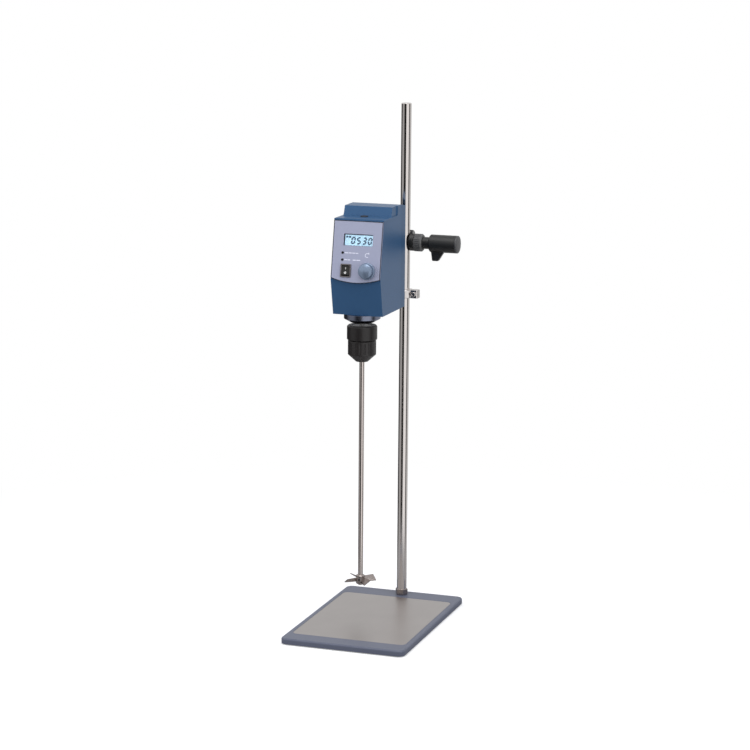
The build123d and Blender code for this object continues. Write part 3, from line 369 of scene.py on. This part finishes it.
# ---- Stop collar ---------------------------------------------------------
# Split collar of bright plated steel with a pinch screw through its lug. It
# keeps the clamp from sliding down the rod.

# nickel plate: pale, warm and almost a mirror
bright_plate = finish("nickel_plate", "#d8d3d1", 0.18, metallic=1.0, grain=0.0007, relief=0.000004)
eased("stop_collar", "stop", bright_plate, edge=0.0004)
eased("stop_collar_screw", "stop", bright_plate, edge=0.0003)

# ---- Clamp: casting, bush, collar, screw and handle ----------------------
# Sand-textured aluminium casting behind the rod, a black bush and a ribbed
# collar on the clamp screw, and a moulded nylon handle with one wing.

# cast aluminium: the mould's sandy grain under a dull shine
casting = finish("cast_aluminium", "#9a9997", 0.42, metallic=1.0, grain=0.0012, relief=0.00004)
eased("boss_head", "boss", casting)

# black oxide on screws: a dark, slightly blue steel that still glints
black_oxide = finish("black_oxide_steel", "#37373a", 0.38, metallic=1.0, grain=0.0005, relief=0.000004)
painted("arm_set_screw", black_oxide)
painted("clamp_screw", zinc)

# moulded nylon, matt from a spark-eroded mould: black on the handle and bush, a lighter grey on the ribbed
# collar and the end cap
nylon = finish("black_nylon", "#1d1d1d", 0.45, grain=0.0009, relief=0.00002)
collar_nylon = finish("grey_black_nylon", "#5a5a5a", 0.5, grain=0.0009, relief=0.00002)
cap_nylon = finish("cap_nylon", "#464647", 0.42, grain=0.0009, relief=0.00001)
eased("clamp_bush", "boss", nylon, edge=0.0003)
eased("clamp_collar", "clamp_ring", collar_nylon)
eased("clamp_handle", "handle", nylon, edge=0.0006)
eased("handle_cap", "handle", cap_nylon, edge=0.0004)

# ---- Drive head: housing -------------------------------------------------
# Two moulded ABS shells. The front one carries the ledge and the hood, and the
# rear one closes it with four black screws.

# blue lacquer: a soft, even sheen with no hard highlight
lacquer = {"grain": 0.0011, "relief": 0.000012, "mottle": 0.03, "ior": 1.36}
housing_blue = finish("satin_blue_lacquer", "#315377", 0.36, **lacquer)
cover_blue = finish("satin_blue_lacquer_rear", "#325172", 0.38, **lacquer)
eased("front_shell", "head", housing_blue)
eased("rear_cover", "head", cover_blue, edge=0.0003)
painted("rear_cover_screws", black_oxide)

# ---- Drive head: control panel -------------------------------------------
# Aluminium panel that leans back in the shell, with the display, two lamps, a
# rocker switch and the speed knob. A printed polycarbonate film covers it.

# satin film, printed silver-blue: it takes the light evenly and mirrors nothing
panel_film = finish("satin_silver_film", "#989cb2", 0.42, grain=0.0007, relief=0.000008, mottle=0.02)
eased("front_panel", "head", panel_film, edge=0.0003)

panel_foot = (-0.025, -0.030, 0.5555)      # where the housing's front breaks
panel_lean = atan2(0.016, 0.0885)          # its lean back
panel_face = 0.0003
panel_half = 0.0399
panel_top = 0.0872
arc_end = -0.0020                          # lower edge at the sides
arc_sag = 0.0067                           # and how far it hangs in the middle


def on_panel(across, up, out=panel_face):
    """A place on the panel: x runs across it, y up its slope and z out of its face."""
    s, c = sin(panel_lean), cos(panel_lean)
    axes = Matrix(((1, 0, 0, 0), (0, s, -c, 0), (0, c, s, 0), (0, 0, 0, 1)))
    return Matrix.Translation(panel_foot) @ axes @ Matrix.Translation((across, up, out))


ink_film = 0.00004         # thickness of printed ink


def thickened(piece, thickness, place):
    """Close a flat outline into a film of that thickness and set it in place."""
    bpy.ops.mesh.select_all(action="SELECT")
    bpy.ops.mesh.extrude_region_move(TRANSFORM_OT_translate={"value": (0, 0, thickness)})
    bpy.ops.mesh.select_all(action="SELECT")
    bpy.ops.mesh.normals_make_consistent(inside=False)
    bpy.ops.object.mode_set(mode="OBJECT")
    piece.data.transform(place)
    return piece


def printed(name, width, height, place, corner=0.0, steps=3):
    """A film of ink or foil, its corners cut (1 step) or rounded."""
    bpy.ops.object.select_all(action="DESELECT")
    bpy.ops.mesh.primitive_plane_add(size=1.0)
    piece = bpy.context.active_object
    piece.name = name
    bpy.ops.object.mode_set(mode="EDIT")
    bpy.ops.transform.resize(value=(width, height, 1.0))
    if corner:
        bpy.ops.mesh.bevel(offset=corner, offset_type="OFFSET", segments=steps, affect="VERTICES")
        bpy.ops.mesh.select_all(action="SELECT")
        bpy.ops.mesh.remove_doubles(threshold=0.000005)
    return thickened(piece, ink_film, place)


def ring(name, radius, width, place, gap=0.0):
    """A printed ring, open over an angle in degrees at its right."""
    bpy.ops.object.select_all(action="DESELECT")
    bpy.ops.mesh.primitive_circle_add(vertices=36, radius=radius, fill_type="NGON")
    piece = bpy.context.active_object
    piece.name = name
    bpy.ops.object.mode_set(mode="EDIT")
    bpy.ops.mesh.inset(thickness=width)
    bpy.ops.mesh.delete(type="FACE")
    if gap:
        bpy.ops.object.mode_set(mode="OBJECT")
        for corner in piece.data.vertices:
            corner.select = corner.co.x > 0 and abs(atan2(corner.co.y, corner.co.x)) < radians(gap / 2)
        bpy.ops.object.mode_set(mode="EDIT")
        bpy.ops.mesh.delete(type="VERT")
    return thickened(piece, ink_film, place)


def joined(name, pieces, body, material):
    """Join small pieces into one, with one finish."""
    bpy.ops.object.select_all(action="DESELECT")
    for piece in pieces:
        piece.select_set(True)
    bpy.context.view_layer.objects.active = pieces[0]
    bpy.ops.object.join()
    whole = bpy.context.active_object
    whole.name = name
    whole.data.materials.clear()
    whole.data.materials.append(material)
    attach(whole, body)
    return whole


# a matt near-black strip round the panel, its lower run bent to the arc: painted shadow in the gap round the
# film's rim
shadow_strip_width = 0.0011
shadow_strip_thickness = 0.0002
shadow_strip_black = finish("painted_shadow_strip_black", "#141a26", 0.7)
arc_radius = (panel_half**2 + arc_sag**2) / (2 * arc_sag)
bpy.ops.object.select_all(action="DESELECT")
bpy.ops.mesh.primitive_grid_add(x_subdivisions=24, y_subdivisions=1, size=2.0)
shadow_strip = bpy.context.active_object
for corner in shadow_strip.data.vertices:
    across = corner.co.x * panel_half
    low = arc_end - arc_sag + arc_radius - sqrt(arc_radius**2 - across**2)
    corner.co = (across, panel_top if corner.co.y > 0 else low, 0)
bpy.ops.object.mode_set(mode="EDIT")
bpy.ops.mesh.select_all(action="SELECT")
bpy.ops.mesh.inset(thickness=shadow_strip_width)
bpy.ops.mesh.delete(type="FACE")
thickened(shadow_strip, shadow_strip_thickness, on_panel(0, 0))
joined("panel_shadow_strip", [shadow_strip], "head", shadow_strip_black)

# liquid-crystal display lit from behind: a pale blue field under a clear acrylic window with a dark mask
# printed round it, thin at the right and bottom, and wide at the left and top, where it is painted shade
# from the recess's edges
field_glow = 0.55
display_glow = finish("lit_display", "#bddcf0", 0.3, mottle=0.02)
surface = part_of(display_glow, "ShaderNodeBsdfPrincipled")
surface.inputs["Emission Color"].default_value = linear("#c4e4f9")
surface.inputs["Emission Strength"].default_value = field_glow
painted("display_module", display_glow)

window = finish("clear_acrylic", "#f2faff", 0.05, relief=0.000001)
surface = part_of(window, "ShaderNodeBsdfPrincipled")
surface.inputs["Transmission Weight"].default_value = 1.0
painted("display_window", window)
window_mid = (0.0010, 0.0577)
window_size = (0.0470, 0.0180)
# widths of the printed border; the wide left and top runs are painted shade
mask_and_shade_widths = {"left": 0.0017, "right": 0.0004, "top": 0.0013, "bottom": 0.0004}
mask_and_shade_out = -0.00118        # on the window's face
mask_and_shade = []
for side, width in mask_and_shade_widths.items():
    across, up = window_mid
    if side in ("left", "right"):
        across += (window_size[0] - width) / 2 * (1 if side == "right" else -1)
        size = (width, window_size[1])
    else:
        up += (window_size[1] - width) / 2 * (1 if side == "top" else -1)
        size = (window_size[0], width)
    mask_and_shade.append(printed("mask_and_shade", *size, on_panel(across, up, mask_and_shade_out)))
joined("display_mask_and_shade", mask_and_shade, "head", finish("mask_ink_and_painted_shade", "#29303f", 0.4))

# the figures: four slanted seven-bar digits and two small marks above them
digit_height = 0.0118
digit_width = 0.0070
digit_pitch = 0.0090
digit_stroke = 0.0024
digit_gap = 0.0002
digit_foot = (-0.0118, 0.0509)
digit_out = -0.00228       # on the display module's face
lean = Matrix(((1, tan(radians(9)), 0, 0), (0, 1, 0, 0), (0, 0, 1, 0), (0, 0, 0, 1)))
half = (digit_width - digit_stroke) / 2
rise = (digit_height - digit_stroke) / 2
bar_places = {
    "a": (0, 2 * rise), "b": (half, 1.5 * rise), "c": (half, 0.5 * rise), "d": (0, 0),
    "e": (-half, 0.5 * rise), "f": (-half, 1.5 * rise), "g": (0, rise),
}
bars_of = {"0": "abcdef", "3": "abcdg", "5": "acdfg"}
mark_size = (0.0035, 0.0029)
mark_up = 0.0622
mark_places = (-0.0177, -0.0133)
figures = []
for number, figure in enumerate("0530"):
    foot = on_panel(
        digit_foot[0] + digit_width / 2 + number * digit_pitch, digit_foot[1] + digit_stroke / 2, digit_out
    )
    for bar in bars_of[figure]:
        flat = bar in "adg"
        length = (2 * half if flat else rise) - digit_gap
        size = (length, digit_stroke) if flat else (digit_stroke, length)
        spot = foot @ lean @ Matrix.Translation((*bar_places[bar], 0))
        figures.append(printed("bar", *size, spot, corner=digit_stroke / 2, steps=1))
for across in mark_places:
    figures.append(printed("mark", *mark_size, on_panel(across, mark_up, digit_out), corner=0.0008))

# turned crystals: a deep blue, a little light still showing through them
crystal_glow = 0.8
crystal = finish("dark_crystal", "#0c2b44", 0.3, mottle=0.02)
surface = part_of(crystal, "ShaderNodeBsdfPrincipled")
surface.inputs["Emission Color"].default_value = linear("#123a58")
surface.inputs["Emission Strength"].default_value = crystal_glow
joined("display_digits", figures, "head", crystal)

# smoked lamp lenses, near black and glossy, and pale bars printed beside them in
# place of words
lamp_lens = finish("smoked_lens", "#0d0b16", 0.15)
eased("indicator_lamps", "head", lamp_lens)
legend_height = 0.0013
legend_rows = {            # place up the panel: left and right end of each bar
    0.0375: ((-0.0198, -0.0136), (-0.0129, -0.0080), (-0.0073, -0.0022), (-0.0015, 0.0026)),
    0.0268: ((-0.0198, -0.0150), (-0.0143, -0.0100), (-0.0060, -0.0008), (0.0000, 0.0064)),
}
legend = []
for up, runs in legend_rows.items():
    for left, right in runs:
        place = on_panel((left + right) / 2, up)
        legend.append(printed("run", right - left, legend_height, place, corner=0.0005))

# and a plain turning arrow over the knob
turn_mid = (0.0170, 0.0350)
turn_radius = 0.0036
turn_width = 0.0010
turn_gap = 110             # degrees of the ring left open for its tip
tip_radius = 0.0020
legend.append(ring("turn", turn_radius, turn_width, on_panel(*turn_mid), gap=turn_gap))
bpy.ops.object.select_all(action="DESELECT")
bpy.ops.mesh.primitive_circle_add(vertices=3, radius=tip_radius, fill_type="NGON")
tip = bpy.context.active_object
bpy.ops.object.mode_set(mode="EDIT")
end = radians(turn_gap / 2)
tip_at = (turn_mid[0] + turn_radius * cos(end), turn_mid[1] + turn_radius * sin(end))
legend.append(thickened(tip, ink_film, on_panel(*tip_at) @ Matrix.Rotation(end + pi, 4, "Z")))
joined("panel_legend", legend, "head", finish("pale_ink", "#dcdeec", 0.5, mottle=0.02))

# rocker switch: matt grey frame, glossier black rocker with white I and O
frame_grey = finish("grey_switch_frame", "#605b5c", 0.4)
eased("switch_frame", "head", frame_grey, edge=0.0004)
rocker_black = finish("black_rocker", "#151515", 0.22)
eased("power_rocker", "rocker", rocker_black, edge=0.0005)
switch_mid = (-0.0162, 0.0101)
rocker_root = 0.00112      # middle of the rocker above the panel's plane
rocker_lie = {"upper": 2, "lower": -22}
sign_out = 0.0036          # from the rocker's middle to each sign
line_sign = (0.0008, 0.0030)
round_sign = (0.0018, 0.0008)              # its radius and stroke
signs = []
for half_name, turn in rocker_lie.items():
    side = 1 if half_name == "upper" else -1
    face = on_panel(*switch_mid, rocker_root) @ Matrix.Rotation(radians(turn), 4, "X")
    spot = face @ Matrix.Translation((0, side * sign_out, 0))
    if half_name == "upper":
        signs.append(printed("sign", *line_sign, spot, corner=0.0003))
    else:
        signs.append(ring("sign", *round_sign, spot))
joined("rocker_signs", signs, "rocker", finish("white_ink", "#e8e8e6", 0.4, mottle=0.02))

# turned knob with a domed end over a wider skirt, in grey-blue metallic
# lacquer: half metal, half paint, with a bright spot from the top box
knob_blue = finish("grey_blue_knob", "#7c8ca3", 0.24, metallic=0.5, relief=0.000003)
eased("speed_knob", "knob", knob_blue, edge=0.0002)

# behind the panel: the encoder that the knob turns, and the circuit board
# under the low gloss of its green solder mask
painted("encoder_shaft", zinc)
painted("encoder", black_oxide)
board_green = finish("green_solder_mask", "#1d5a38", 0.35)
painted("control_board", board_green)

# ---- Drive head: plug, inlet, fuse, flange and arm -----------------------
# A soft rubber plug closes a hole in the ledge. At the back sit the moulded
# mains inlet with its fuse cap, and the machined flange that four screws hold
# and that carries the ground steel arm.

# soft rubber: black and dead matt
plug_rubber = finish("soft_black_plug", "#1a1820", 0.6)
eased("ledge_plug", "head", plug_rubber, edge=0.0003)

# moulded thermoset: a flat black
inlet_black = finish("black_inlet", "#1f1f20", 0.5)
eased("power_inlet", "head", inlet_black, edge=0.0003)
eased("fuse_cap", "head", inlet_black, edge=0.0003)

# clear-anodised aluminium: pale grey with a silky shine
flange_metal = finish("anodised_flange", "#8c8e92", 0.34, metallic=1.0, grain=0.0008, relief=0.00001)
eased("arm_flange", "head", flange_metal, edge=0.0003)
painted("arm_flange_screws", black_oxide)
eased("extension_arm", "head", ground_steel)

# ---- Drive head: spindle nose and drive ----------------------------------
# The nose cone closes the housing's foot and holds the bearings. Inside, a
# motor on a folded bracket drives the spindle over two pulleys and a belt.

# slate anodising on the turned cone, smooth enough to show soft vertical bands
cone_metal = finish("dark_anodised_nose", "#828799", 0.28, metallic=1.0, grain=0.0008, relief=0.000006)
eased("nose_cone", "head", cone_metal, edge=0.0003)

# ground steel is bright, zinc-plated steel duller, the motor's enamel a dark
# grey with a low shine, and the belt's rubber flat black
bearing_steel = finish("bearing_steel", "#b9b9ba", 0.22, metallic=1.0)
for cad_name in ("lower_bearing", "upper_bearing", "motor_shaft", "spindle"):
    painted(cad_name, bearing_steel)
bracket_steel = finish("folded_zinc_steel", "#a9abac", 0.4, metallic=1.0)
for cad_name in ("motor_bracket", "drive_pulley", "driven_pulley"):
    painted(cad_name, bracket_steel)
motor_case = finish("motor_can", "#4b4d50", 0.4, metallic=1.0)
painted("motor", motor_case)
belt_rubber = finish("belt_rubber", "#161616", 0.7)
painted("drive_belt", belt_rubber)

# ---- Chuck ---------------------------------------------------------------
# Keyless chuck: a steel body on the spindle with three jaws in slanting
# guides, a plain rear sleeve and a ribbed front sleeve that is turned by hand.

# the body's steel is dark and smooth, the glass-filled nylon of the sleeves a
# warm black with a low shine
chuck_steel = finish("chuck_steel", "#6d6a69", 0.3, metallic=1.0)
sleeve_black = finish("glass_filled_nylon", "#1b1818", 0.38)
front_black = finish("glass_filled_nylon_front", "#1f1c1c", 0.38)
eased("chuck_body", "drive_spindle", chuck_steel)
eased("chuck_rear_sleeve", "drive_spindle", sleeve_black, edge=0.0004)
eased("chuck_front_sleeve", "chuck_grip", front_black, edge=0.0002)
for number in (1, 2, 3):
    painted(f"chuck_jaw_{number}", chuck_steel)

# ---- Stirring shaft and propeller ----------------------------------------
# Drawn stainless shaft, held in the chuck, with a four-bladed propeller that a
# set screw holds at its foot.

# drawing leaves fine lines along the steel and stripes a little softer than
# those of the ground rod
shaft_steel = brushed(
    finish("drawn_stainless", "#d2c8c4", 0.14, metallic=1.0, grain=0.0006, mottle=0.03),
    (1.0, 1.0, 0.02), 0.000003,
)
eased("stirring_shaft", "stirrer", shaft_steel)
eased("propeller", "stirrer", nut_metal)
painted("propeller_screw", black_oxide)
